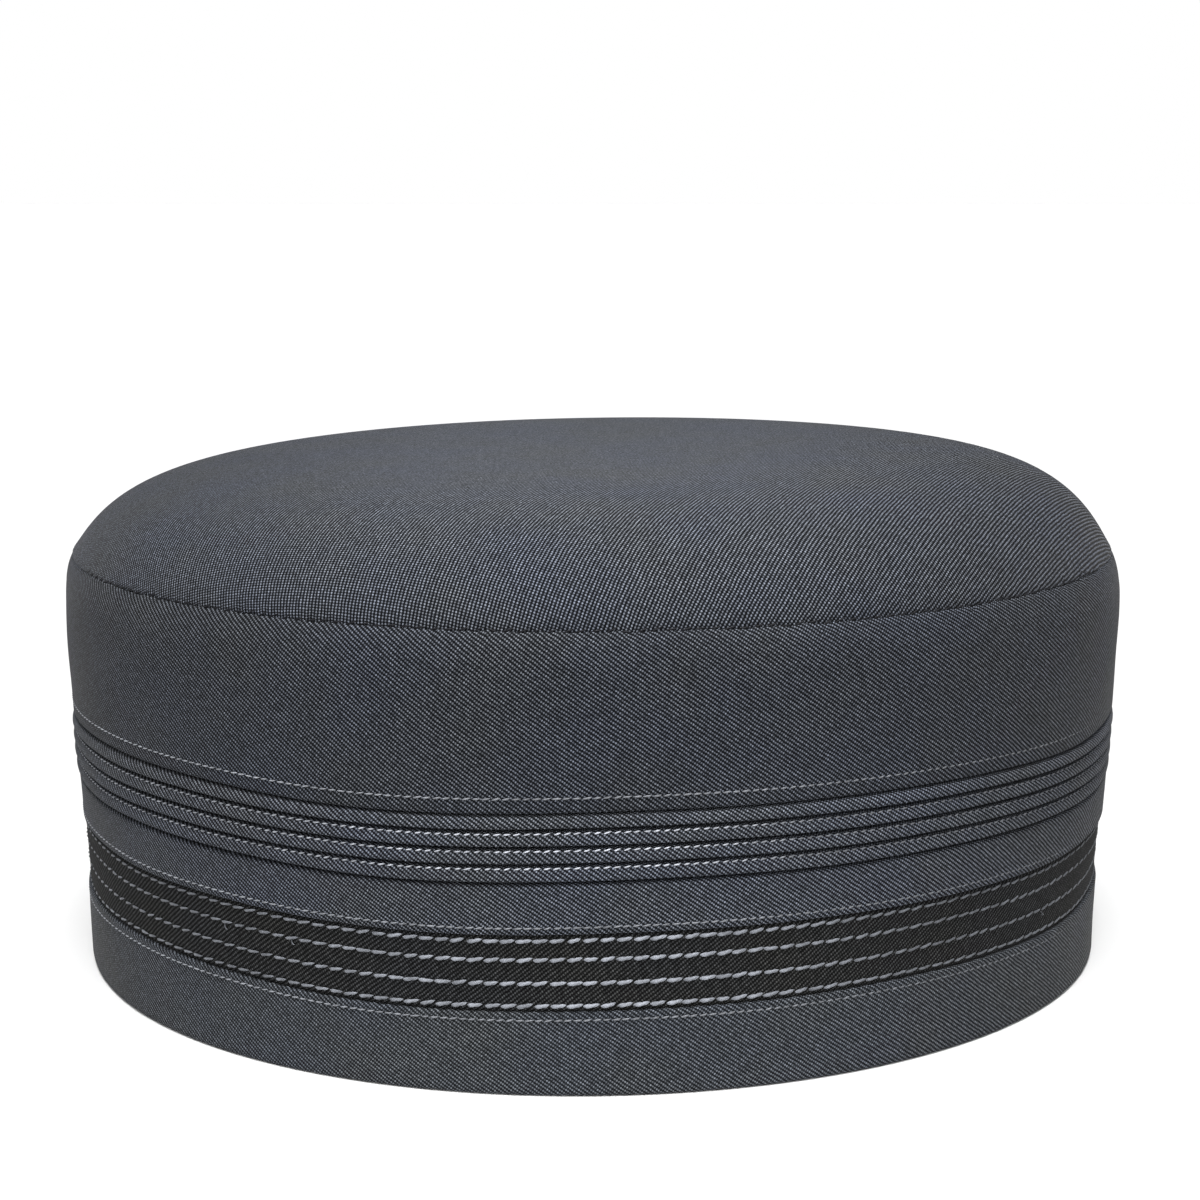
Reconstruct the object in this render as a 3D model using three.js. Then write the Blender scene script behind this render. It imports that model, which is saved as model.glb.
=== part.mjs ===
// A kufi cap: an oval cloth cap with a tall side wall and a soft, low-domed top.
// Millimetres, +Z up. The rim stands on z = 0 and the oval's long axis lies along X.
import * as THREE from 'three';

// Head oval, measured at the crown seam on the outside of the cloth
const LENGTH = 200;
const WIDTH = 170;
const EGG = -0.025;
const SEGMENTS = 72;

// Heights of the edges where one piece of cloth gives way to the next
const RIM_Z = 0;
const HEM_TOP_Z = 14.8;
const BLACK_TOP_Z = 28.2;
const UPPER_FOLD_Z = 48.8;
const SEAM_Z = 78.2;

// Cloth: the folded wall, the lip that laps over its neighbour, and the clearance between two pieces
const WALL = 2.8;
const LIP = 1.2;
const GAP = 0.35;
const LAP = 5;
const FOLD_ROUND = 0.5;
const RIM_ROUND = 0.8;
const BLACK_INSET = 0.5;

// Crown: a dome that starts upright at the seam and flattens towards the middle
const SEAM_ROLL = 1.7;
const ROLL_STEPS = 3;
const DOME_RISE = 17.4;
const DOME_FLATNESS = 6;
const DOME_SHOULDER = 1.61;
const CROWN_LEAN = 1.9;
const CROWN_SHELL = 1.8;
const SKIRT = 1.2;
const SKIRT_DEPTH = 8;
const OUTSIDE_STEPS = 12;
const INSIDE_STEPS = 8;
const EDGE_CROWDING = 2.2;

// How far the outside of the wall stands from the head oval, by height
const WALL_LINE = [
  { z: 0, out: -1.4 },
  { z: 19.5, out: -1.1 },
  { z: 39, out: 0.3 },
  { z: 58.5, out: 0.4 },
  { z: 78.2, out: 0 },
];

// The tucks, from the lowest up: the height of the folded edge, how far it stands proud of the wall,
// how deep the cloth below it is tucked in, and how far the fold's underside rises inwards
const TUCKS = [
  { fold: 37.4, proud: 0.2, tucked: 0.35, undercut: 0.3 },
  { fold: 40.5, proud: 0.3, tucked: 0.5, undercut: 0.4 },
  { fold: 43.4, proud: 0.3, tucked: 0.5, undercut: 0.4 },
  { fold: 46.3, proud: 0.3, tucked: 0.5, undercut: 0.4 },
];
const TOP_STRIP_TUCKED = 0.3;

const RADIUS = LENGTH / 2;

const GREY_CLOTH = { color: 0x40434a, roughness: 0.92, metalness: 0 };
const BLACK_CLOTH = { color: 0x1d1d1f, roughness: 0.88, metalness: 0 };

// Radius of the wall's outside at a height, less a depth into the cloth
function wallPoint(z, depth = 0) {
  const above = WALL_LINE.findIndex((row) => row.z >= z);
  const high = WALL_LINE[Math.max(above, 1)];
  const low = WALL_LINE[Math.max(above, 1) - 1];
  const share = (z - low.z) / (high.z - low.z);
  const out = THREE.MathUtils.lerp(low.out, high.out, share);
  return new THREE.Vector2(RADIUS + out - depth, z);
}

// The wall's line at one depth, upwards or downwards, with a point at each bend between its ends
function wallRun(fromZ, toZ, depth) {
  const bends = WALL_LINE.map((row) => row.z);
  const between = bends.filter((z) => z > Math.min(fromZ, toZ) && z < Math.max(fromZ, toZ));
  if (toZ < fromZ) {
    between.reverse();
  }
  return [fromZ, ...between, toZ].map((z) => wallPoint(z, depth));
}

// A folded lower edge, from the back of the lip round to its outside
function foldedLowerEdge(z) {
  return [wallPoint(z, LIP), wallPoint(z, FOLD_ROUND)];
}

// One tuck, upwards: the cloth that goes in under the fold, then the fold's rounded edge
function tuckEdge(tuck) {
  return [
    wallPoint(tuck.fold + tuck.undercut, tuck.tucked),
    wallPoint(tuck.fold, FOLD_ROUND - tuck.proud),
    wallPoint(tuck.fold + FOLD_ROUND, -tuck.proud),
  ];
}

// The wall's top edge, rolled inwards to the crown seam
function rolledTopEdge() {
  const points = [];
  for (let step = 0; step <= ROLL_STEPS; step += 1) {
    const turn = (Math.PI / 2) * (step / ROLL_STEPS);
    const inward = SEAM_ROLL * (1 - Math.cos(turn));
    const up = SEAM_ROLL * Math.sin(turn);
    points.push(new THREE.Vector2(RADIUS - inward, SEAM_Z - SEAM_ROLL + up));
  }
  return points;
}

// A dome's section from its edge to the middle, with its points crowded towards the edge
function domeRun(radius, baseZ, rise, steps) {
  const points = [];
  for (let step = 0; step <= steps; step += 1) {
    const share = 1 - Math.pow(step / steps, EDGE_CROWDING);
    const height = rise * Math.pow(1 - Math.pow(share, DOME_FLATNESS), 1 / DOME_SHOULDER);
    points.push(new THREE.Vector2(radius * share, baseZ + height));
  }
  return points;
}

function crownProfile() {
  const baseZ = SEAM_Z + GAP;
  const radius = RADIUS - SEAM_ROLL;
  const rise = DOME_RISE - GAP;
  const outside = domeRun(radius, baseZ, rise, OUTSIDE_STEPS);
  const inside = domeRun(radius - CROWN_SHELL, baseZ, rise - CROWN_SHELL, INSIDE_STEPS);
  return [
    ...inside.reverse(),
    wallPoint(SEAM_Z - SKIRT_DEPTH, WALL + GAP + SKIRT),
    wallPoint(SEAM_Z - SKIRT_DEPTH, WALL + GAP),
    new THREE.Vector2(RADIUS - WALL - GAP, baseZ),
    ...outside,
  ];
}

function upperBandProfile() {
  const lapZ = UPPER_FOLD_Z + LAP + GAP;
  return [
    ...foldedLowerEdge(UPPER_FOLD_Z),
    ...wallRun(UPPER_FOLD_Z + FOLD_ROUND, SEAM_Z - 2 * SEAM_ROLL, 0),
    ...rolledTopEdge(),
    ...wallRun(SEAM_Z, lapZ, WALL),
    wallPoint(lapZ, LIP),
  ];
}

function tuckBandProfile() {
  const topZ = UPPER_FOLD_Z - GAP;
  const lapZ = BLACK_TOP_Z + LAP + GAP;
  return [
    ...foldedLowerEdge(BLACK_TOP_Z),
    wallPoint(BLACK_TOP_Z + FOLD_ROUND),
    ...TUCKS.flatMap(tuckEdge),
    wallPoint(topZ, TOP_STRIP_TUCKED),
    wallPoint(topZ, LIP + GAP),
    wallPoint(UPPER_FOLD_Z + LAP, LIP + GAP),
    ...wallRun(UPPER_FOLD_Z + LAP, lapZ, WALL),
    wallPoint(lapZ, LIP),
  ];
}

function blackBandProfile() {
  const lowZ = HEM_TOP_Z - LAP;
  const highZ = BLACK_TOP_Z + LAP;
  return [
    wallPoint(lowZ, WALL),
    wallPoint(lowZ, LIP + GAP),
    wallPoint(HEM_TOP_Z + GAP, LIP + GAP),
    ...wallRun(HEM_TOP_Z + GAP, BLACK_TOP_Z - GAP, BLACK_INSET),
    wallPoint(BLACK_TOP_Z - GAP, LIP + GAP),
    wallPoint(highZ, LIP + GAP),
    ...wallRun(highZ, lowZ, WALL).slice(0, -1),
  ];
}

function hemBandProfile() {
  const lapZ = HEM_TOP_Z - LAP - GAP;
  return [
    wallPoint(RIM_Z, WALL),
    wallPoint(RIM_Z, RIM_ROUND),
    wallPoint(RIM_Z + RIM_ROUND),
    wallPoint(HEM_TOP_Z - FOLD_ROUND),
    wallPoint(HEM_TOP_Z, FOLD_ROUND),
    wallPoint(HEM_TOP_Z, LIP),
    wallPoint(lapZ, LIP),
    wallPoint(lapZ, WALL),
  ];
}

// Presses a turned shape from a circle into the head oval, and lets the crown lean a little to +X
function pressToOval(geometry) {
  const position = geometry.getAttribute('position');
  for (let i = 0; i < position.count; i += 1) {
    const x = position.getX(i);
    const y = position.getY(i);
    const z = position.getZ(i);
    const radius = Math.hypot(x, y);
    const towardsX = radius > 0 ? x / radius : 0;
    const leanShare = Math.max(z - SEAM_Z - GAP, 0) / DOME_RISE;
    position.setY(i, y * (WIDTH / LENGTH) * (1 + EGG * towardsX));
    position.setZ(i, z + CROWN_LEAN * (x / RADIUS) * leanShare);
  }
  return geometry;
}

// One ring or dome of cloth from its section, given anticlockwise
function clothPiece(name, profile, finish) {
  const points = profile.at(0).x > 0 ? [...profile, profile.at(0).clone()] : profile;
  const geometry = new THREE.LatheGeometry(points, SEGMENTS);
  geometry.rotateX(Math.PI / 2);
  pressToOval(geometry);
  geometry.computeVertexNormals();
  const mesh = new THREE.Mesh(geometry, new THREE.MeshStandardMaterial(finish));
  mesh.name = name;
  return mesh;
}

const cap = new THREE.Group();
cap.add(clothPiece('crown_top', crownProfile(), GREY_CLOTH));
cap.add(clothPiece('upper_band', upperBandProfile(), GREY_CLOTH));
cap.add(clothPiece('tuck_band', tuckBandProfile(), GREY_CLOTH));
cap.add(clothPiece('black_band', blackBandProfile(), BLACK_CLOTH));
cap.add(clothPiece('hem_band', hemBandProfile(), GREY_CLOTH));

export default cap;
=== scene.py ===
"""The looks of a kufi cap: charcoal twill, sewn tucks, a black band with thick stitches, a soft crown."""

import math
from collections import namedtuple

import bpy
import numpy as np
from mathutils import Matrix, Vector


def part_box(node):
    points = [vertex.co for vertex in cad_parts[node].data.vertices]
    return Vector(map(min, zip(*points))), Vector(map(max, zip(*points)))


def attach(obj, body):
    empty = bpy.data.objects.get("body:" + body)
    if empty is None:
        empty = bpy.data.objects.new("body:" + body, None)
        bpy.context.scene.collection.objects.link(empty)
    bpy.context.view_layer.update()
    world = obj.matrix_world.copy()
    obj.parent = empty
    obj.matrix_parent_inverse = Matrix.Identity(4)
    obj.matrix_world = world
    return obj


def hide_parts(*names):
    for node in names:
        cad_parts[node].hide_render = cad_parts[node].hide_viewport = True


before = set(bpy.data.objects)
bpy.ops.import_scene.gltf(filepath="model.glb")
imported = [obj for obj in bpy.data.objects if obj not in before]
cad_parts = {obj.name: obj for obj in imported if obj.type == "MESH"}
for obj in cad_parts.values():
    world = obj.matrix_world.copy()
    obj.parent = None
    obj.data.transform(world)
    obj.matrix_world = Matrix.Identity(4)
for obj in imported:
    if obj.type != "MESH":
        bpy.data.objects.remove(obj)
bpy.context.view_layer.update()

MM = 0.001
BODY = "root"
RNG = np.random.default_rng(11)


# Sizes read from the frame, in millimetres


def node_z(node):
    low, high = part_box(node)
    return low.z / MM, high.z / MM


HEM_TOP = node_z("hem_band")[1]
BLACK_TOP = node_z("tuck_band")[0]
UPPER_FOLD, SEAM = node_z("upper_band")
SKIRT_LOW = node_z("crown_top")[0]

# The head oval and the cloth, as in the solids, in millimetres
RADIUS = 100.0
SQUEEZE = 0.85
EGG = -0.025
WALL = 2.8
LIP = 1.2
LAP = 5.0
BLACK_INSET = 0.5
# Between two pieces of cloth, closer than the solids can lie
VISUAL_GAP = 0.12
# How far the outside of the wall stands from the oval, by height, with the roll in to the seam at its top
WALL_LINE_Z = (0.0, 10.0, 19.5, 30.0, 39.0, 48.0, 58.5, 68.0, 72.0, 74.0, 75.7, 77.0, 78.2)
WALL_LINE_OUT = (-1.4, -1.3, -1.1, -0.45, 0.2, 0.4, 0.45, 0.42, 0.3, 0.05, -0.4, -0.95, -1.7)

# How the corners of a section are rounded
SHARP_ROUND = 0.1
INNER_ROUND = 0.3
FOLD_ROUND = 0.55
SLOT_ROUND = 0.6
RIM_ROUND = 1.1
WALL_ROUND = 2.0
PROUD_ROUND = 0.4
# An arc takes at most this share of the runs beside its corner
ARC_SHARE = 0.49

# How far from its corners a straight run of the wall's line starts and ends
RUN_IN = 2.0
RIM_RUN_IN = 3.0
HEM_RUN_OUT = 1.5
BLACK_INSIDE_RUN_OUT = 4.0
# The black band dips in under the folded edges within this height on either side of them
BLACK_DIP = 0.5

# The top of the upper panel, down from the seam: where it is flat, where it rolls, and its turned-in edge
FLAT_END = 7.0
ROLL_START = 5.5
ROLL_END = 1.0
EDGE_IN = 0.1
TURN_IN = 0.75
TURN_DOWN = 1.4
INSIDE_TOP = 3.0

# Tucks, from the lowest up: height of the folded edge, how proud it stands, height and depth of its slot
TUCKS = (
    (37.4, 0.25, 0.67, 1.5),
    (40.5, 0.34, 0.71, 1.6),
    (43.4, 0.34, 0.71, 1.6),
    (46.3, 0.34, 0.71, 1.6),
)
# The slot under the upper panel, the form of all the slots and folds, and the plain strip below the tucks
UPPER_SLOT = 0.55
SLOT_SHOULDER = 0.1
SLOT_RISE = 0.2
UNDERCUT = 0.3
FOLD_TURN = 0.1
FOLD_HEIGHT = 0.5
STRIP_INSET = 0.05

# Crown: a dome that starts upright inside the rolled edge and flattens towards the middle
SEAM_ROLL = 1.7
DOME_RISE = 17.4
DOME_FLATNESS = 7.0
DOME_SHOULDER = 1.61
CROWN_LEAN = 1.9
CROWN_SHELL = 1.8
CROWN_TUCKED = 0.6
CROWN_STEPS = 61
EDGE_CROWDING = 2.2
POLE_RADIUS = 0.02
# The seam allowance: how far down its top lies, and the bends (inwards, down) from the dome's edge into it
SKIRT_TOP = 3.6
SKIRT_BENDS = ((1.6, 2.2), (0.5, 1.3))

# At the two ends of the oval the cloth on both sides of the seam is filled out, so that the outline runs on
BAND_FILL = 0.45
CROWN_FILL = 1.5
FILL_RISE = 5.0
FILL_FADE = 3.0
FILL_NARROWNESS = 4

# Sewing drift: how the sewn lines wander up and down round the cap (height, waves, phase)
DRIFT = ((0.25, 4, 0.0), (0.2, 5, 0.0), (0.12, 9, 1.3))
# Dents of the wall: depth, waves round the cap, turn for each millimetre up, phase
DENTS = ((0.22, 3, 0.05, 0.4), (0.16, 5, -0.09, 2.1), (0.1, 9, 0.16, 4.0), (0.06, 17, -0.33, 1.0))
DENT_FADE = 6.0
PUCKER_HEIGHT = 0.11
PUCKER_REACH = 1.8

# Mesh resolution
COLUMNS = 640
RUN_STEP = 1.6
ARC_STEPS = 4
SHARP_STEPS = 2

# Weave, in millimetres: pitch of the warp ends and of the weft picks, and how far the yarns wander
WARP_PITCH = 0.351
WEFT_PITCH = 0.257
BLACK_WEFT_PITCH = 0.285
TWILL_REPEAT = 3
WEFT_SHARE = 0.12
PICK_NOTCH = 0.3
END_ROUND = 0.35
FLOAT_ROUND = 1.5
YARN_WANDER = 0.7
WANDER_FREQUENCY = 0.35
# Steps of the random seed from one warp end to the next, and from one float to the next
END_SEED = 0.731
FLOAT_SEED = 137.1
# How far the crown's grain is turned from the cap's long axis
CROWN_GRAIN = math.radians(78)

# Cloth colours, from the weave's pits to its crests, and the dyes that lie over them in slow patches; the
# near-black pit colours are painted shade in the hollows between the yarns
GREY_PIT_SHADE = (0.003, 0.0034, 0.0046, 1)
GREY_CREST = (0.235, 0.251, 0.297)
BLACK_PIT_SHADE = (0.001, 0.001, 0.001, 1)
BLACK_CREST = (0.073, 0.073, 0.075, 1)
COOL_DYE = (0.96, 1.0, 1.05, 1)
WARM_DYE = (1.0, 1.01, 0.96, 1)
DYE_FREQUENCY = 0.045
DYE_RANGE = (0.35, 0.65)
YARN_UNEVEN = 0.3
FLUFF_UNEVEN = 0.38
FLUFF_FREQUENCY = 2.4
FLUFF_RANGE = (0.3, 0.7)

# How cloth takes the light, and the bump of its weave
GREY_ROUGHNESS = 0.9
BLACK_ROUGHNESS = 0.85
GREY_SHEEN = 0.06
BLACK_SHEEN = 0.008
SHEEN_ROUGHNESS = 0.4
SHEEN_TINT = (1.0, 0.96, 0.93, 1.0)
CLOTH_SPECULAR = 0.08
BLACK_CONTRAST = 1.2
WEAVE_BUMP = 0.9
WEAVE_DEPTH = 0.14

# Painted shade: the cloth's colour is darker towards the two ends of the cap, where the light falls off: from
# and to these distances along X, in metres
SHADE_START = 0.03
SHADE_END = 0.085
END_PAINTED_SHADE = 0.8

# The thread's painted shading changes from the middle to the sides between these distances along X, in metres
PAINTED_SHADING_START = 0.012
PAINTED_SHADING_END = 0.06
TUCK_PAINTED_SHADING_END = 0.036

# Thread colours, and their painted light and shade at left, middle and right
THICK_COLOUR = (0.215, 0.228, 0.256)
THICK_PAINTED_SHADING = (0.5, 1.0, 0.35)
EDGE_COLOUR = (0.2, 0.21, 0.23)
EDGE_PAINTED_SHADING = (1.0, 0.75, 0.5)
TUCK_COLOUR = (0.47, 0.49, 0.54)
TUCK_PAINTED_SHADING = (0.5, 1.0, 0.28)
# The seam's row is no thread: near-black painted shadow, dark slits where the seam pulls in
SEAM_SHADOW_COLOUR = (0.004, 0.004, 0.006)
SEAM_PAINTED_SHADING = (1.0, 1.0, 1.0)

# How thread takes the light, its fibres and how its tone differs by stitch
THREAD_ROUGHNESS = 0.6
THREAD_SPECULAR = 0.2
THREAD_SHEEN = 0.1
FIBRE_FREQUENCY = 2600.0
FIBRE_UNEVEN = 0.3
FIBRE_BUMP = 0.3
FIBRE_DEPTH = 0.05
FADE_FREQUENCY = 420.0
FADE_UNEVEN = 0.65

# One kind of stitch, in millimetres and degrees: its slope up the wall, how its right end stands out, how far
# its row sinks into the cloth on the right-hand side, and how much thinner it is towards both ends of the cap
Stitch = namedtuple("Stitch", "pitch length thickness slope stand strands sink thinned")
THICK_STITCH = Stitch(2.75, 2.85, 0.8, 10.0, 6.0, 2, 0.1, 0.35)
EDGE_STITCH = Stitch(1.6, 1.45, 0.34, 8.0, 0.0, 1, 0.14, 0.15)
TUCK_STITCH = Stitch(1.6, 1.3, 0.3, 13.0, 0.0, 1, 0.08, 0.0)
# Slits of painted shadow along the crown seam, shaped as stitches
SEAM_SHADOW_SLIT = Stitch(2.4, 2.2, 0.3, 15.0, 0.0, 1, 0.0, 0.0)

# A stitch's mesh: sections along it and sides round it
SINGLE_STEPS = (6, 5)
DOUBLE_STEPS = (10, 6)
LOOSE_STEPS = (9, 5)
# The strands of a double stitch: shares of its thickness, their twist each way and how they close at the tips
PLY_RADIUS = 0.34
PLY_OFFSET = 0.15
PLY_TWIST = 0.8 * math.pi
PLY_CLOSING = 3
# How a stitch tapers to its tips, and how it bows out of the cloth and dives into it
STITCH_TAPER = 2.2
STITCH_TIP = 0.04
STITCH_FULLNESS = 0.8
STITCH_LIFT = 0.3
STITCH_DIVE = 1.35
STITCH_BOW = 3.5

# Uneven sewing: spread of a stitch's spacing and size as shares, and of its slope in degrees
SPACING_SPREAD = 0.025
SIZE_SPREAD = 0.06
SLOPE_SPREAD = 3.0

# Where stitches sink, thin out and flatten: shares of the half length along X
SINK_FROM = 0.12
SINK_SPAN = 0.2
THIN_FROM = 0.2
THIN_SPAN = 0.45
FLAT_FROM = 0.8
FLAT_SPAN = 0.15
FLATTENED = 0.55

# Heights of the rows of stitches; the seam's row of painted shadow slits lies in from the rolled edge and
# down from the seam
THICK_ROWS = (("row_1", 27.2), ("row_2", 23.9), ("row_3", 19.8), ("row_4", 15.9))
TUCK_ROWS = (("b", 45.4), ("c", 42.5), ("d", 39.6))
UPPER_EDGE_ROW = 51.3
STRIP_EDGE_ROW = 29.5
HEM_EDGE_ROW = 13.5
SEAM_SHADOW_INSET = 0.15
SEAM_SHADOW_DROP = 0.1

# Loose thread ends that hang from the thick stitches: angle in radians, height and how far they hang
LOOSE_ENDS = ((-0.68, 23.6, 1.0), (-0.53, 23.6, 0.8), (0.95, 19.5, 0.8), (2.3, 23.6, 1.0), (-2.0, 19.5, 0.9))
LOOSE_THICKNESS = 0.2
# The height at which the black band's surface is taken for all of them
LOOSE_OUT_AT = 22.0
# A loose end's hook: how far it sweeps aside, how it curls and drops, and how it stands off the cloth
LOOSE_SWEEP = 0.7
LOOSE_CURL = 2.7
LOOSE_DROP = 1.9
LOOSE_STAND = 0.12
LOOSE_BOW = 0.25

# Stage: a backdrop that darkens above the horizon (sine of the height, then its light), and a pale floor
BACKDROP_FADE = (0.07, 0.16)
BACKDROP_LIGHT = (1.0, 0.35)
FLOOR_HALF = 6.0
FLOOR_TONE = 0.65
FLOOR_UNEVEN = 0.02
FLOOR_FREQUENCY = 9.0
FLOOR_ROUGHNESS = 0.9

# Lights in metres: two wide suns, and a spotlight that makes the cap's middle the brightest part
OVERHEAD_FROM = Vector((0.0, -0.14, 1.0))
OVERHEAD_POWER = 3.0
OVERHEAD_SPREAD = math.radians(30)
FRONT_FROM = Vector((0.0, -1.0, 0.95))
FRONT_POWER = 1.5
FRONT_SPREAD = math.radians(40)
SPOT_FROM = Vector((0.0, -0.374, 1.0)).normalized()
SPOT_AIM = Vector((0.0, -0.04, 0.08))
SPOT_DISTANCE = 1.2
SPOT_REACH = 0.09
SPOT_STRETCH = 2.0
SPOT_POWER = 85.0
SPOT_SOFTNESS = 0.1

# Camera, fitted to the photograph's outline
LENS = 65.73
SENSOR = 36.0
EYE = Vector((0.0014, -0.41877, 0.15186))
LOOK_AT = Vector((0.0014, 0.0, 0.0659))


# Shape


def oval(angle, out, z):
    """Points in metres: angle from the front towards +X, a radius before pressing, and a height."""
    sideways = np.sin(angle)
    x = out * sideways
    y = -out * np.cos(angle) * SQUEEZE * (1 + EGG * sideways)
    return np.stack([x, y, z], -1) * MM


def ramp(value, start, span):
    """From 0 at start to 1 after the span."""
    return np.clip((value - start) / span, 0, 1)


def wall_out(z):
    return RADIUS + np.interp(z, WALL_LINE_Z, WALL_LINE_OUT)


def drift(angle, z):
    """How far a sewn line strays upwards at an angle; nothing at the rim and at the seam."""
    free = ramp(z, 0, HEM_TOP) * ramp(SEAM - z, 0, SEAM - UPPER_FOLD)
    return free * sum(height * np.sin(waves * angle + phase) for height, waves, phase in DRIFT)


def dents(angle, z):
    """Soft hollows and swellings of the stiff wall."""
    free = ramp(z, 0, HEM_TOP) * ramp(SEAM - z, 0, DENT_FADE)
    return free * sum(depth * np.sin(waves * angle + turn * z + phase) for depth, waves, turn, phase in DENTS)


def end_fill(angle, z, amount):
    """How far the cloth near the seam is filled out at the two ends of the oval."""
    below = ramp(z, SEAM - FILL_RISE, FILL_RISE)
    above = np.exp(-np.clip(z - SEAM, 0, None) / FILL_FADE)
    return amount * below * above * np.sin(angle) ** FILL_NARROWNESS


def around():
    """Angles of the columns, from the back round through the front, and the length of cloth up to each."""
    angle = np.linspace(-math.pi, math.pi, COLUMNS + 1)
    points = oval(angle, np.full_like(angle, RADIUS), np.zeros_like(angle)) / MM
    steps = np.linalg.norm(np.diff(points, axis=0), axis=1)
    return angle, np.concatenate([[0], np.cumsum(steps)])


ANGLE, GIRTH = around()
WALL_PUCKER = RNG.normal(0, PUCKER_HEIGHT, COLUMNS + 1)
CROWN_PUCKER = RNG.normal(0, PUCKER_HEIGHT, COLUMNS + 1)


def puckers(angle, z, heights):
    """Small uneven lifts of the cloth along the crown seam, fading out above and below it."""
    near = np.clip(1 - np.abs(z - SEAM) / PUCKER_REACH, 0, 1)
    return near * np.interp(angle, ANGLE, heights)


def shaped(angle, out, z):
    """A point of the wall with its sewing drift, its dents, its puckers and its filled-out ends."""
    wide = out + dents(angle, z) + end_fill(angle, z, BAND_FILL)
    return oval(angle, wide, z + drift(angle, z) + puckers(angle, z, WALL_PUCKER))


def run_lengths(points):
    """The length along a line of points up to each of them."""
    return np.concatenate([[0], np.cumsum(np.linalg.norm(np.diff(points, axis=0), axis=1))])


# Sections


def rounded(corners):
    """A closed section from corners (out, z, radius): each corner turned by an arc, long runs divided."""
    corners = np.array(corners, float)
    points = []
    count = len(corners)
    for index in range(count):
        here = corners[index, :2]
        radius = corners[index, 2]
        back = corners[index - 1, :2] - here
        ahead = corners[(index + 1) % count, :2] - here
        back_length = np.linalg.norm(back)
        ahead_length = np.linalg.norm(ahead)
        reach = min(radius, ARC_SHARE * back_length, ARC_SHARE * ahead_length)
        start = here + back / back_length * reach
        end = here + ahead / ahead_length * reach
        steps = ARC_STEPS if radius > SHARP_ROUND else SHARP_STEPS
        for share in np.linspace(0, 1, steps):
            points.append((1 - share) ** 2 * start + 2 * share * (1 - share) * here + share * share * end)
    return divided(np.array(points))


def divided(points):
    """The closed section with points put in wherever a run is longer than RUN_STEP."""
    out = []
    for here, ahead in zip(points, np.roll(points, -1, axis=0)):
        parts = max(1, math.ceil(np.linalg.norm(ahead - here) / RUN_STEP))
        out += [here + (ahead - here) * part / parts for part in range(parts)]
    return np.array(out)


def wall_corner(z, depth=0.0, radius=0.0):
    return (float(wall_out(z)) - depth, z, radius)


def wall_corners(low, high, depth, step=6.0):
    """Corners up or down the wall at one depth."""
    count = max(2, math.ceil(abs(high - low) / step) + 1)
    return [wall_corner(z, depth, WALL_ROUND) for z in np.linspace(low, high, count)]


def hem_section():
    lap = HEM_TOP - LAP - VISUAL_GAP
    return rounded([
        wall_corner(0.0, WALL, INNER_ROUND),
        wall_corner(0.0, 0.0, RIM_ROUND),
        *wall_corners(RIM_RUN_IN, HEM_TOP - HEM_RUN_OUT, 0.0),
        wall_corner(HEM_TOP, 0.0, FOLD_ROUND),
        wall_corner(HEM_TOP, LIP, INNER_ROUND),
        wall_corner(lap, LIP, SHARP_ROUND),
        wall_corner(lap, WALL, SHARP_ROUND),
    ])


def black_section():
    """The black band, which dips in under the folded edges above and below it."""
    low = HEM_TOP - LAP
    high = BLACK_TOP + LAP
    hidden = LIP + VISUAL_GAP
    return rounded([
        wall_corner(low, WALL, SHARP_ROUND),
        wall_corner(low, hidden, SHARP_ROUND),
        wall_corner(HEM_TOP - BLACK_DIP, hidden, SLOT_ROUND),
        wall_corner(HEM_TOP + BLACK_DIP, BLACK_INSET, SLOT_ROUND),
        *wall_corners(HEM_TOP + BLACK_DIP + RUN_IN, BLACK_TOP - BLACK_DIP - RUN_IN, BLACK_INSET),
        wall_corner(BLACK_TOP - BLACK_DIP, BLACK_INSET, SLOT_ROUND),
        wall_corner(BLACK_TOP + BLACK_DIP, hidden, SLOT_ROUND),
        wall_corner(high, hidden, SHARP_ROUND),
        *wall_corners(high, low + BLACK_INSIDE_RUN_OUT, WALL),
    ])


def tuck_section():
    """The tucked band: for each tuck, the slot that goes in under it and then its folded edge."""
    lap = BLACK_TOP + LAP + VISUAL_GAP
    top = UPPER_FOLD - UPPER_SLOT
    hidden = LIP + VISUAL_GAP
    corners = [
        wall_corner(BLACK_TOP, LIP, INNER_ROUND),
        wall_corner(BLACK_TOP, 0.0, FOLD_ROUND),
        *wall_corners(BLACK_TOP + RUN_IN, TUCKS[0][0] - RUN_IN, STRIP_INSET, step=3.0),
    ]
    for fold, proud, slot_height, slot_depth in TUCKS:
        shoulder = fold - slot_height
        corners += [
            wall_corner(shoulder, SLOT_SHOULDER, SLOT_ROUND),
            wall_corner(shoulder + SLOT_RISE, slot_depth, SHARP_ROUND),
            wall_corner(fold + UNDERCUT, slot_depth, SHARP_ROUND),
            wall_corner(fold, FOLD_TURN - proud, INNER_ROUND),
            wall_corner(fold + FOLD_HEIGHT, -proud, PROUD_ROUND),
        ]
    return rounded([
        *corners,
        wall_corner(top, SLOT_SHOULDER, SLOT_ROUND),
        wall_corner(top + SLOT_RISE, hidden, SHARP_ROUND),
        wall_corner(UPPER_FOLD + LAP, hidden, SHARP_ROUND),
        *wall_corners(UPPER_FOLD + LAP, lap, WALL),
        wall_corner(lap, LIP, SHARP_ROUND),
    ])


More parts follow.
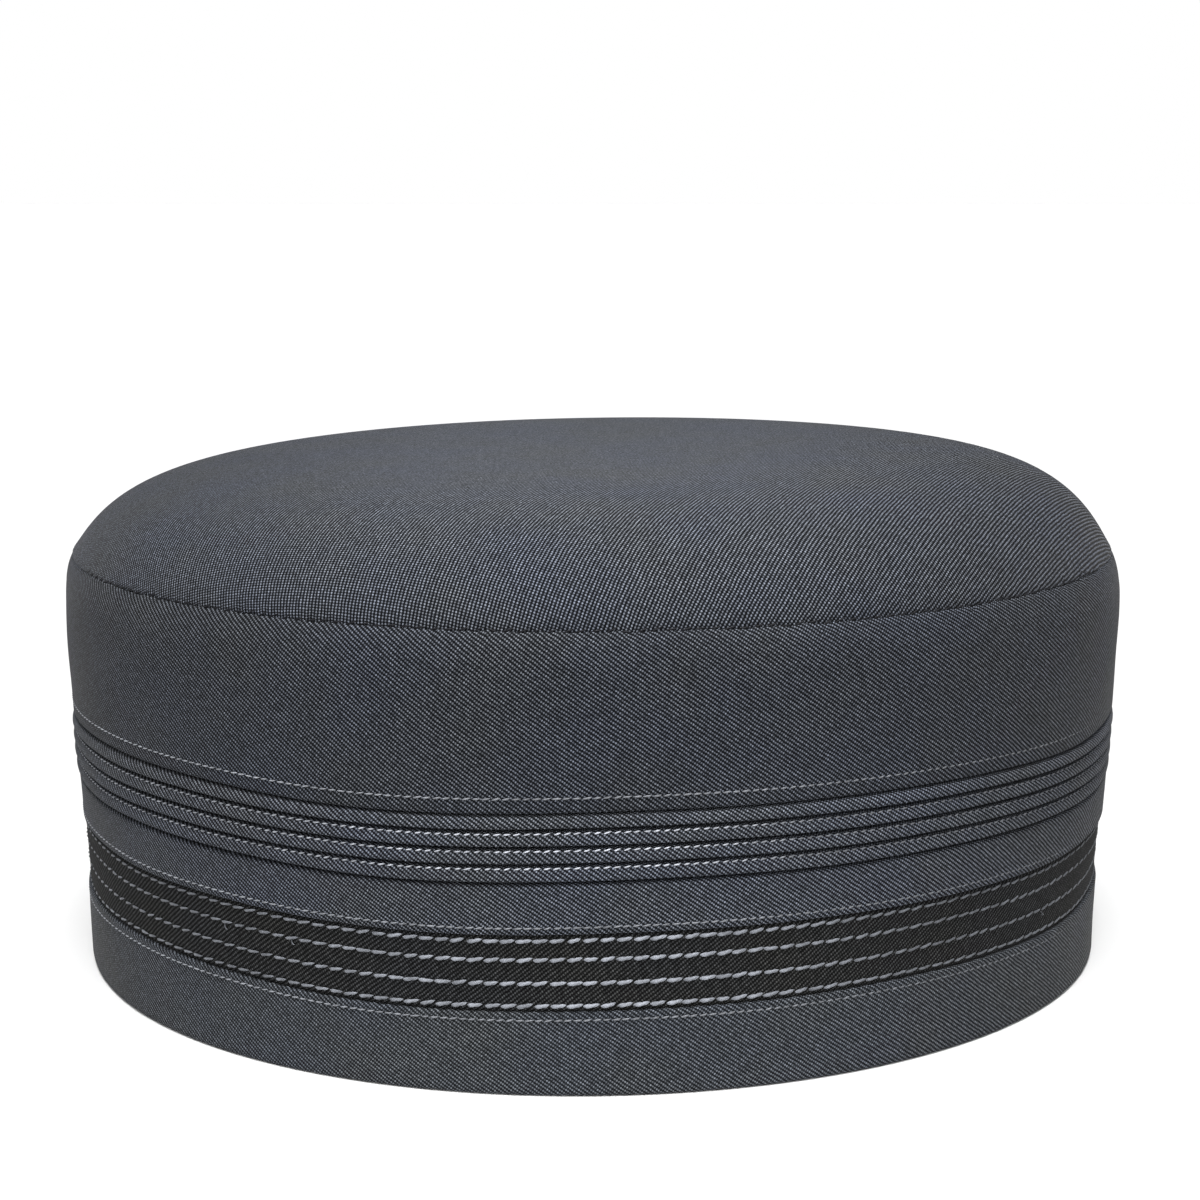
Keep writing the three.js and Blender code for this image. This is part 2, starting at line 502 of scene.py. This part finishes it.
def upper_section():
    """The upper panel, whose top edge rolls in and down to the crown seam."""
    lap = UPPER_FOLD + LAP + VISUAL_GAP
    top = float(wall_out(SEAM))
    return rounded([
        wall_corner(UPPER_FOLD, LIP, INNER_ROUND),
        wall_corner(UPPER_FOLD, 0.0, FOLD_ROUND),
        *wall_corners(UPPER_FOLD + RUN_IN, SEAM - FLAT_END, 0.0, step=4.0),
        *wall_corners(SEAM - ROLL_START, SEAM - ROLL_END, 0.0, step=1.3),
        (top - EDGE_IN, SEAM - EDGE_IN, SLOT_ROUND),
        (top - TURN_IN, SEAM - TURN_DOWN, INNER_ROUND),
        wall_corner(SEAM - INSIDE_TOP, WALL, INNER_ROUND),
        *wall_corners(SEAM - INSIDE_TOP - RUN_IN, lap, WALL),
        wall_corner(lap, LIP, SHARP_ROUND),
    ])


def dome(share, radius, base, rise):
    height = rise * (1 - share**DOME_FLATNESS) ** (1 / DOME_SHOULDER)
    return np.stack([radius * share, base + height], -1)


def crown_section():
    """From the middle of the inside, round the turned-down seam allowance, to the middle of the top."""
    steps = 1 - np.linspace(0, 1, CROWN_STEPS) ** EDGE_CROWDING
    radius = RADIUS - SEAM_ROLL - TURN_IN
    base = SEAM - CROWN_TUCKED
    outside = dome(steps, radius, base, CROWN_TUCKED + DOME_RISE)
    inside = dome(steps[::3], radius - CROWN_SHELL, SEAM, DOME_RISE - CROWN_SHELL)[::-1]
    depth = WALL + VISUAL_GAP
    skirt = np.array([
        (wall_out(SKIRT_LOW) - depth - LIP, SKIRT_LOW),
        (wall_out(SKIRT_LOW) - depth, SKIRT_LOW),
        (wall_out(SEAM - SKIRT_TOP) - depth, SEAM - SKIRT_TOP),
        *((radius - inwards, SEAM - down) for inwards, down in SKIRT_BENDS),
    ])
    section = np.vstack([inside, skirt, outside])
    section[[0, -1], 0] = POLE_RADIUS
    return section


# Cloth pieces


def add_piece(name, verts, faces, material):
    mesh = bpy.data.meshes.new(name)
    mesh.from_pydata(verts, [], faces)
    mesh.shade_smooth()
    mesh.materials.append(material)
    piece = bpy.data.objects.new(name, mesh)
    bpy.context.scene.collection.objects.link(piece)
    return piece


def grid_piece(name, points, uv, closed_rows, material):
    """A mesh from points[column, row], closed round the columns, with a weave map in millimetres."""
    columns, rows = points.shape[:2]
    column = np.arange(columns)[:, None]
    row = np.arange(rows if closed_rows else rows - 1)[None, :]
    left = column * rows
    right = (column + 1) % columns * rows
    above = (row + 1) % rows
    quads = np.stack([left + row, right + row, right + above, left + above], -1)
    lower = [uv[column, row], uv[column + 1, row]]
    upper = [uv[column + 1, row + 1], uv[column, row + 1]]
    corners = np.stack(lower + upper, 2)
    piece = add_piece(name, points.reshape(-1, 3), quads.reshape(-1, 4), material)
    layer = piece.data.uv_layers.new(name="weave")
    layer.data.foreach_set("uv", corners.astype(np.float32).ravel())
    return piece


def dress(piece, node=None):
    """Puts a piece on the cap and, for cloth, in place of a solid."""
    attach(piece, BODY)
    if node:
        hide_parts(node)


def cloth_ring(node, section, material, mirrored=False):
    """A band of cloth that goes round the oval with one section."""
    points = shaped(ANGLE[:-1, None], section[None, :, 0], section[None, :, 1])
    length = run_lengths(np.vstack([section, section[:1]]))
    turn = -1.0 if mirrored else 1.0
    uv = np.stack(np.broadcast_arrays(turn * GIRTH[:, None], length[None, :]), -1)
    dress(grid_piece(node + "_cloth", points, uv, True, material), node)


def crown(material):
    """The domed top, with its cloth laid flat over the dome and its grain turned."""
    section = crown_section()
    out = section[None, :, 0]
    z = section[None, :, 1]
    angle = ANGLE[:-1, None]
    lean = CROWN_LEAN * (out / RADIUS) * np.clip(z - SEAM, 0, None) / DOME_RISE
    wide = out + end_fill(angle, z, CROWN_FILL)
    sewn = puckers(angle, z, CROWN_PUCKER)
    points = oval(angle, wide, z + np.sin(angle) * lean + sewn)
    length = run_lengths(section)
    from_middle = np.minimum(length, length[-1] - length)
    flat_x = from_middle * np.sin(ANGLE[:, None])
    flat_y = -from_middle * SQUEEZE * np.cos(ANGLE[:, None])
    cos = math.cos(CROWN_GRAIN)
    sin = math.sin(CROWN_GRAIN)
    uv = np.stack([flat_x * cos - flat_y * sin, flat_x * sin + flat_y * cos], -1)
    dress(grid_piece("crown_top_cloth", points, uv, False, material), "crown_top")


# Materials


class Graph:
    """Short names for the nodes of one material."""

    def __init__(self, name):
        self.material = bpy.data.materials.new(name)
        self.material.use_nodes = True
        self.tree = self.material.node_tree
        self.shader = self.tree.nodes["Principled BSDF"]

    def node(self, kind, **settings):
        made = self.tree.nodes.new(kind)
        for key, value in settings.items():
            setattr(made, key, value)
        return made

    def feed(self, socket, value):
        if isinstance(value, bpy.types.NodeSocket):
            self.tree.links.new(value, socket)
        else:
            socket.default_value = value

    def finish(self, **settings):
        """Sets the shader's own sockets, by their names with _ for a space."""
        for key, value in settings.items():
            self.feed(self.shader.inputs[key.replace("_", " ")], value)
        return self.material

    def math(self, operation, *values):
        made = self.node("ShaderNodeMath", operation=operation)
        for socket, value in zip(made.inputs, values):
            self.feed(socket, value)
        return made.outputs[0]

    def product(self, first, *others):
        for other in others:
            first = self.math("MULTIPLY", first, other)
        return first

    def mix(self, share, low, high):
        made = self.node("ShaderNodeMix", data_type="RGBA")
        self.feed(made.inputs["Factor"], share)
        self.feed(made.inputs["A"], low)
        self.feed(made.inputs["B"], high)
        return made.outputs["Result"]

    def scale(self, colour, factor):
        made = self.node("ShaderNodeVectorMath", operation="SCALE")
        self.feed(made.inputs[0], colour)
        self.feed(made.inputs["Scale"], factor)
        return made.outputs[0]

    def tint(self, colour, dye):
        made = self.node("ShaderNodeVectorMath", operation="MULTIPLY")
        self.feed(made.inputs[0], colour)
        self.feed(made.inputs[1], dye)
        return made.outputs[0]

    def split(self, place):
        made = self.node("ShaderNodeSeparateXYZ")
        self.feed(made.inputs[0], place)
        return made.outputs

    def object_place(self):
        return self.node("ShaderNodeTexCoord").outputs["Object"]

    def noise(self, place, frequency, detail):
        made = self.node("ShaderNodeTexNoise")
        self.feed(made.inputs["Vector"], place)
        made.inputs["Scale"].default_value = frequency
        made.inputs["Detail"].default_value = detail
        return made.outputs["Fac"]

    def random(self, seed):
        made = self.node("ShaderNodeTexWhiteNoise", noise_dimensions="1D")
        self.feed(made.inputs["W"], seed)
        return made.outputs["Value"]

    def span(self, value, start, end, low, high):
        """From low at start to high at end, and level outside them."""
        made = self.node("ShaderNodeMapRange")
        self.feed(made.inputs["Value"], value)
        for socket, setting in zip(made.inputs[1:5], (start, end, low, high)):
            socket.default_value = setting
        return made.outputs[0]

    def bump(self, height, strength, distance):
        made = self.node("ShaderNodeBump")
        made.inputs["Strength"].default_value = strength
        made.inputs["Distance"].default_value = distance
        self.feed(made.inputs["Height"], height)
        return made.outputs[0]


def twill_nodes(graph, place, weft_pitch):
    """A two-over-one twill on the weave map: its height from 0 to 1, and a random share for each float."""
    parts = graph.split(place)
    stray = graph.math("SUBTRACT", graph.noise(place, WANDER_FREQUENCY, 1.0), 0.5)
    wander = graph.math("MULTIPLY", stray, YARN_WANDER)
    across = graph.math("ADD", graph.math("DIVIDE", parts[0], WARP_PITCH), wander)
    along = graph.math("ADD", graph.math("DIVIDE", parts[1], weft_pitch), wander)
    end = graph.math("FLOOR", across)
    pick = graph.math("FLOOR", along)
    in_end = graph.math("SUBTRACT", across, end)
    in_pick = graph.math("SUBTRACT", along, pick)
    diagonal = graph.math("ADD", end, pick)
    phase = graph.math("FLOORED_MODULO", diagonal, float(TWILL_REPEAT))
    warp_up = graph.math("GREATER_THAN", phase, 0.5)
    weft_up = graph.math("SUBTRACT", 1.0, warp_up)
    on_float = graph.math("ADD", graph.math("SUBTRACT", phase, 1.0), in_pick)
    run = graph.math("MULTIPLY", on_float, math.pi / 2)
    round_end = graph.math("POWER", graph.math("SINE", graph.math("MULTIPLY", in_end, math.pi)), END_ROUND)
    round_pick = graph.math("SINE", graph.math("MULTIPLY", in_pick, math.pi))
    round_float = graph.math("POWER", graph.math("MAXIMUM", graph.math("SINE", run), 0.0), FLOAT_ROUND)
    notch = graph.span(graph.math("POWER", round_pick, 2.0), 0.0, 1.0, 1.0 - PICK_NOTCH, 1.0)
    warp = graph.product(round_float, notch, round_end, warp_up)
    weft = graph.product(round_end, round_pick, weft_up, WEFT_SHARE)
    passed = graph.math("FLOOR", graph.math("DIVIDE", diagonal, float(TWILL_REPEAT)))
    end_seed = graph.math("MULTIPLY", end, END_SEED)
    seed = graph.math("ADD", end_seed, graph.math("MULTIPLY", passed, FLOAT_SEED))
    return graph.math("ADD", warp, weft), graph.random(seed)


def cloth(name, pit, crest, contrast, roughness, sheen, weft_pitch):
    """Twill from the painted shade of its pits to its light crests, with uneven yarns, fluff, slow patches of
    dye and painted shade towards the two ends of the cap.
    """
    graph = Graph(name)
    place = graph.node("ShaderNodeUVMap", uv_map="weave").outputs[0]
    height, yarn = twill_nodes(graph, place, weft_pitch)
    # The pit colour is painted shade between the yarns; the crest colour is the yarn's own
    body = graph.mix(graph.math("POWER", height, contrast), pit, crest)
    patch = graph.span(graph.noise(place, DYE_FREQUENCY, 3.0), *DYE_RANGE, 0.0, 1.0)
    dye = graph.mix(patch, COOL_DYE, WARM_DYE)
    uneven = graph.span(yarn, 0.0, 1.0, 1 - YARN_UNEVEN, 1 + YARN_UNEVEN)
    fuzz = graph.noise(place, FLUFF_FREQUENCY, 2.0)
    fluff = graph.span(fuzz, *FLUFF_RANGE, 1 - FLUFF_UNEVEN, 1 + FLUFF_UNEVEN)
    # Painted shade: the colour darkens towards the two ends of the cap along X
    aside = graph.math("ABSOLUTE", graph.split(graph.object_place())[0])
    shade = graph.span(aside, SHADE_START, SHADE_END, 1.0, END_PAINTED_SHADE)
    return graph.finish(
        Base_Color=graph.scale(graph.tint(body, dye), graph.product(uneven, fluff, shade)),
        Roughness=roughness,
        Specular_IOR_Level=CLOTH_SPECULAR,
        Sheen_Weight=sheen,
        Sheen_Roughness=SHEEN_ROUGHNESS,
        Sheen_Tint=SHEEN_TINT,
        Normal=graph.bump(height, WEAVE_BUMP, WEAVE_DEPTH * MM),
    )


def grey_cloth(panel, tone, contrast, blue=1.0):
    """The charcoal twill of one panel, with a tone and a contrast of its own; the tone is painted light and
    shade for how each panel is lit.
    """
    red, green, full_blue = (tone * share for share in GREY_CREST)
    crest = (red, green, full_blue * blue, 1)
    name = "grey_twill_" + panel
    return cloth(name, GREY_PIT_SHADE, crest, contrast, GREY_ROUGHNESS, GREY_SHEEN, WEFT_PITCH)


def black_cloth():
    """The black twill of the ribbon band."""
    finish = (BLACK_CONTRAST, BLACK_ROUGHNESS, BLACK_SHEEN)
    return cloth("black_twill", BLACK_PIT_SHADE, BLACK_CREST, *finish, BLACK_WEFT_PITCH)


def thread(name, colour, painted_shading, sheen=THREAD_SHEEN, right_end=PAINTED_SHADING_END):
    """Sewing thread: fine fibres, a tone that differs by stitch, and painted light and shade at left, middle
    and right; also the painted shadow of the seam.
    """
    graph = Graph(name)
    place = graph.object_place()
    x = graph.split(place)[0]
    left, middle, right = painted_shading
    # Painted light and shade along X: the thread's tone changes from the middle to the left and to the right
    to_left = graph.span(x, -PAINTED_SHADING_START, -PAINTED_SHADING_END, middle, left)
    to_right = graph.span(x, PAINTED_SHADING_START, right_end, middle, right)
    painted_shading_tone = graph.math("DIVIDE", graph.math("MULTIPLY", to_left, to_right), middle)
    fibre = graph.noise(place, FIBRE_FREQUENCY, 2.0)
    uneven = graph.span(fibre, 0.0, 1.0, 1 - FIBRE_UNEVEN, 1 + FIBRE_UNEVEN)
    fade = graph.span(graph.noise(place, FADE_FREQUENCY, 1.0), 0.0, 1.0, 1 - FADE_UNEVEN, 1 + FADE_UNEVEN)
    tone = graph.product(uneven, fade, painted_shading_tone)
    return graph.finish(
        Base_Color=graph.scale(colour, tone),
        Roughness=THREAD_ROUGHNESS,
        Specular_IOR_Level=THREAD_SPECULAR,
        Sheen_Weight=sheen,
        Normal=graph.bump(fibre, FIBRE_BUMP, FIBRE_DEPTH * MM),
    )


# Stitches


def surface_out(section, z):
    """The outermost radius of a section at a height."""
    here, ahead = section, np.roll(section, -1, axis=0)
    crossing = (np.minimum(here[:, 1], ahead[:, 1]) <= z) & (np.maximum(here[:, 1], ahead[:, 1]) > z)
    here, ahead = here[crossing], ahead[crossing]
    share = (z - here[:, 1]) / (ahead[:, 1] - here[:, 1])
    return float(np.max(here[:, 0] + share * (ahead[:, 0] - here[:, 0])))


def wall_axes(angle, out, z):
    """Places on the wall with the directions along it, up it and out of it."""
    turn = 1e-3
    climb = 0.2
    centre = shaped(angle, out, z)
    along = shaped(angle + turn, out, z) - shaped(angle - turn, out, z)
    along /= np.linalg.norm(along, axis=1)[:, None]
    rise = shaped(angle, out, z + climb) - centre
    rise /= np.linalg.norm(rise, axis=1)[:, None]
    return centre, along, rise, np.cross(along, rise)


def strand(kind, sections, sides, phase):
    """One strand of a stitch on its own axes: points[section, side] as (along, up the wall, out of it)."""
    single = kind.strands == 1
    radius = kind.thickness * (0.5 if single else PLY_RADIUS)
    offset = 0.0 if single else kind.thickness * PLY_OFFSET
    share = np.linspace(-1, 1, sections)
    from_middle = np.abs(share)
    body = radius * np.clip(1 - from_middle**STITCH_TAPER, STITCH_TIP, 1) ** STITCH_FULLNESS
    lift = kind.thickness * STITCH_LIFT * (1 - STITCH_DIVE * from_middle**STITCH_BOW)
    twist = phase + PLY_TWIST * share
    bundle = offset * (1 - from_middle**PLY_CLOSING)
    side = np.linspace(0, 2 * math.pi, sides, endpoint=False)
    along = np.repeat((share * kind.length / 2)[:, None], sides, 1)
    up = (bundle * np.sin(twist))[:, None] + body[:, None] * np.sin(side)
    out = (lift + bundle * np.cos(twist))[:, None] + body[:, None] * np.cos(side)
    return np.stack([along, up, out], -1).reshape(-1, 3) * MM


def tube_faces(sections, sides, count):
    """Faces of tubes that lie one after another in a list of points, with their ends closed."""
    here = np.arange(sections - 1)[:, None] * sides
    ahead = here + sides
    side = np.arange(sides)[None, :]
    turned = (side + 1) % sides
    quads = np.stack([here + side, here + turned, ahead + turned, ahead + side], -1)
    first = list(range(sides))[::-1]
    last = [(sections - 1) * sides + corner for corner in range(sides)]
    tube = quads.reshape(-1, 4).tolist() + [first, last]
    starts = range(0, count * sections * sides, sections * sides)
    return [[corner + start for corner in face] for start in starts for face in tube]


def stitch_row(name, out, z, kind, material):
    """A row of stitches round the cap at one height, as one joined mesh; the seam's painted shadow slits are
    such a row.
    """
    count = round(GIRTH[-1] / kind.pitch)
    even = (np.arange(count) + 0.5) * GIRTH[-1] / count
    spot = even + RNG.normal(0, SPACING_SPREAD * kind.pitch, count)
    slope = np.radians(kind.slope + RNG.normal(0, SLOPE_SPREAD, count))[:, None]
    size = (1 + RNG.normal(0, SIZE_SPREAD, count))[:, None, None]
    angle = np.interp(spot, GIRTH, ANGLE)
    sideways = np.sin(angle)
    sunk = kind.sink * ramp(sideways, SINK_FROM, SINK_SPAN)
    thin = (1 - kind.thinned * ramp(np.abs(sideways), THIN_FROM, THIN_SPAN))[:, None, None]
    flat = thin * (1 - FLATTENED * ramp(np.abs(sideways), FLAT_FROM, FLAT_SPAN))[:, None, None]
    centre, along, rise, away = wall_axes(angle, out - sunk, np.full(count, z))
    upward = rise * np.cos(slope) - along * np.sin(slope)
    forward = along * np.cos(slope) + rise * np.sin(slope) + away * math.tan(math.radians(kind.stand))
    sections, sides = SINGLE_STEPS if kind.strands == 1 else DOUBLE_STEPS
    verts = []
    for ply in range(kind.strands):
        local = strand(kind, sections, sides, ply * math.pi)[None, :, :, None]
        lengthwise = size * local[:, :, 0] * forward[:, None]
        crosswise = thin * local[:, :, 1] * upward[:, None]
        outwards = flat * local[:, :, 2] * away[:, None]
        verts.append((centre[:, None] + lengthwise + crosswise + outwards).reshape(-1, 3))
    faces = tube_faces(sections, sides, count * kind.strands)
    dress(add_piece(name, np.vstack(verts), faces, material))


def loose_ends(name, out, material):
    """Short hooks of thread that hang against the cloth."""
    sections, sides = LOOSE_STEPS
    share = np.linspace(0, 1, sections)
    side = np.linspace(0, 2 * math.pi, sides, endpoint=False)
    verts = []
    for angle, z, hang in LOOSE_ENDS:
        centre, along, rise, away = wall_axes(np.array([angle]), out, np.array([z]))
        across = hang * LOOSE_SWEEP * np.sin(LOOSE_CURL * share * share)
        down = -hang * np.sin(LOOSE_DROP * share)
        stand = LOOSE_STAND + LOOSE_BOW * np.sin(math.pi * share)
        line = centre + (across[:, None] * along + down[:, None] * rise + stand[:, None] * away) * MM
        ahead = np.gradient(line, axis=0)
        ahead /= np.linalg.norm(ahead, axis=1)[:, None]
        sideways = np.cross(ahead, away)
        ring = np.cos(side)[None, :, None] * away[:, None] + np.sin(side)[None, :, None] * sideways[:, None]
        verts.append((line[:, None] + ring * LOOSE_THICKNESS / 2 * MM).reshape(-1, 3))
    faces = tube_faces(sections, sides, len(LOOSE_ENDS))
    dress(add_piece(name, np.vstack(verts), faces, material))


# Stage


def floor():
    mesh = bpy.data.meshes.new("floor")
    corners = [(-1, -1), (1, -1), (1, 1), (-1, 1)]
    mesh.from_pydata([(x * FLOOR_HALF, y * FLOOR_HALF, 0) for x, y in corners], [], [(0, 1, 2, 3)])
    graph = Graph("pale_floor")
    grain = graph.noise(graph.object_place(), FLOOR_FREQUENCY, 2.0)
    tone = graph.span(grain, 0.0, 1.0, FLOOR_TONE, FLOOR_TONE + FLOOR_UNEVEN)
    pale = graph.scale((1.0, 1.0, 1.0), tone)
    mesh.materials.append(graph.finish(Base_Color=pale, Roughness=FLOOR_ROUGHNESS))
    piece = bpy.data.objects.new("floor", mesh)
    bpy.context.scene.collection.objects.link(piece)


def backdrop():
    world = bpy.data.worlds.new("studio")
    world.use_nodes = True
    nodes = world.node_tree.nodes
    links = world.node_tree.links
    parts = nodes.new("ShaderNodeSeparateXYZ")
    fade = nodes.new("ShaderNodeMapRange")
    fade.inputs["From Min"].default_value, fade.inputs["From Max"].default_value = BACKDROP_FADE
    fade.inputs["To Min"].default_value, fade.inputs["To Max"].default_value = BACKDROP_LIGHT
    links.new(nodes.new("ShaderNodeTexCoord").outputs["Generated"], parts.inputs[0])
    links.new(parts.outputs[2], fade.inputs["Value"])
    links.new(fade.outputs[0], nodes["Background"].inputs["Strength"])
    nodes["Background"].inputs["Color"].default_value = (1.0, 1.0, 1.0, 1.0)
    bpy.context.scene.world = world


def lamp(name, kind, place, direction, power):
    """A lamp at a place that shines back along a direction."""
    data = bpy.data.lights.new(name, kind)
    data.energy = power
    made = bpy.data.objects.new(name, data)
    made.location = place
    made.rotation_euler = (-direction).to_track_quat("-Z", "Y").to_euler()
    bpy.context.scene.collection.objects.link(made)
    return made


def lights():
    lamp("overhead", "SUN", OVERHEAD_FROM, OVERHEAD_FROM, OVERHEAD_POWER).data.angle = OVERHEAD_SPREAD
    lamp("front", "SUN", FRONT_FROM, FRONT_FROM, FRONT_POWER).data.angle = FRONT_SPREAD
    spot = lamp("middle", "SPOT", SPOT_AIM + SPOT_FROM * SPOT_DISTANCE, SPOT_FROM, SPOT_POWER)
    spot.data.spot_size = 2 * math.atan(SPOT_REACH / SPOT_DISTANCE)
    spot.data.spot_blend = 1.0
    spot.data.shadow_soft_size = SPOT_SOFTNESS
    spot.scale = (1.0, SPOT_STRETCH, 1.0)
    bpy.context.scene.view_settings.view_transform = "Standard"


def camera():
    data = bpy.data.cameras.new("camera")
    data.lens = LENS
    data.sensor_width = SENSOR
    eye = bpy.data.objects.new("camera", data)
    eye.location = EYE
    eye.rotation_euler = (LOOK_AT - EYE).to_track_quat("-Z", "Y").to_euler()
    bpy.context.scene.collection.objects.link(eye)
    bpy.context.scene.camera = eye


# The scene

camera()
floor()
backdrop()
lights()

hem = hem_section()
black = black_section()
tucks = tuck_section()
upper = upper_section()

# Panel tones are painted light and shade: lighter on the crown and tucks, darker on the upper band and hem
crown(grey_cloth("crown", tone=1.22, contrast=2.1))
cloth_ring("upper_band", upper, grey_cloth("upper", tone=0.91, contrast=1.9))
cloth_ring("tuck_band", tucks, grey_cloth("tucks", tone=1.1, contrast=1.65))
cloth_ring("black_band", black, black_cloth(), mirrored=True)
cloth_ring("hem_band", hem, grey_cloth("hem", tone=0.79, contrast=1.3, blue=0.95))

thick_thread = thread("thick_thread", THICK_COLOUR, THICK_PAINTED_SHADING)
for name, height in THICK_ROWS:
    out = surface_out(black, height)
    stitch_row("thick_stitches_" + name, out, height, THICK_STITCH, thick_thread)

edge_thread = thread("edge_thread", EDGE_COLOUR, EDGE_PAINTED_SHADING)
edge_rows = (("a", upper, UPPER_EDGE_ROW), ("e", tucks, STRIP_EDGE_ROW), ("f", hem, HEM_EDGE_ROW))
for name, section, height in edge_rows:
    out = surface_out(section, height)
    stitch_row("fine_stitches_" + name, out, height, EDGE_STITCH, edge_thread)

tuck_thread = thread("tuck_thread", TUCK_COLOUR, TUCK_PAINTED_SHADING, right_end=TUCK_PAINTED_SHADING_END)
for name, height in TUCK_ROWS:
    out = surface_out(tucks, height)
    stitch_row("fine_stitches_" + name, out, height, TUCK_STITCH, tuck_thread)

# Near-black slits of painted shadow along the crown seam, made as a row of stitches
painted_seam_shadow = thread("painted_seam_shadow", SEAM_SHADOW_COLOUR, SEAM_PAINTED_SHADING, sheen=0.0)
seam_shadow_out = RADIUS - SEAM_ROLL - SEAM_SHADOW_INSET
stitch_row("painted_seam_shadow_slits", seam_shadow_out, SEAM - SEAM_SHADOW_DROP, SEAM_SHADOW_SLIT, painted_seam_shadow)
loose_ends("loose_thread_ends", surface_out(black, LOOSE_OUT_AT), thick_thread)
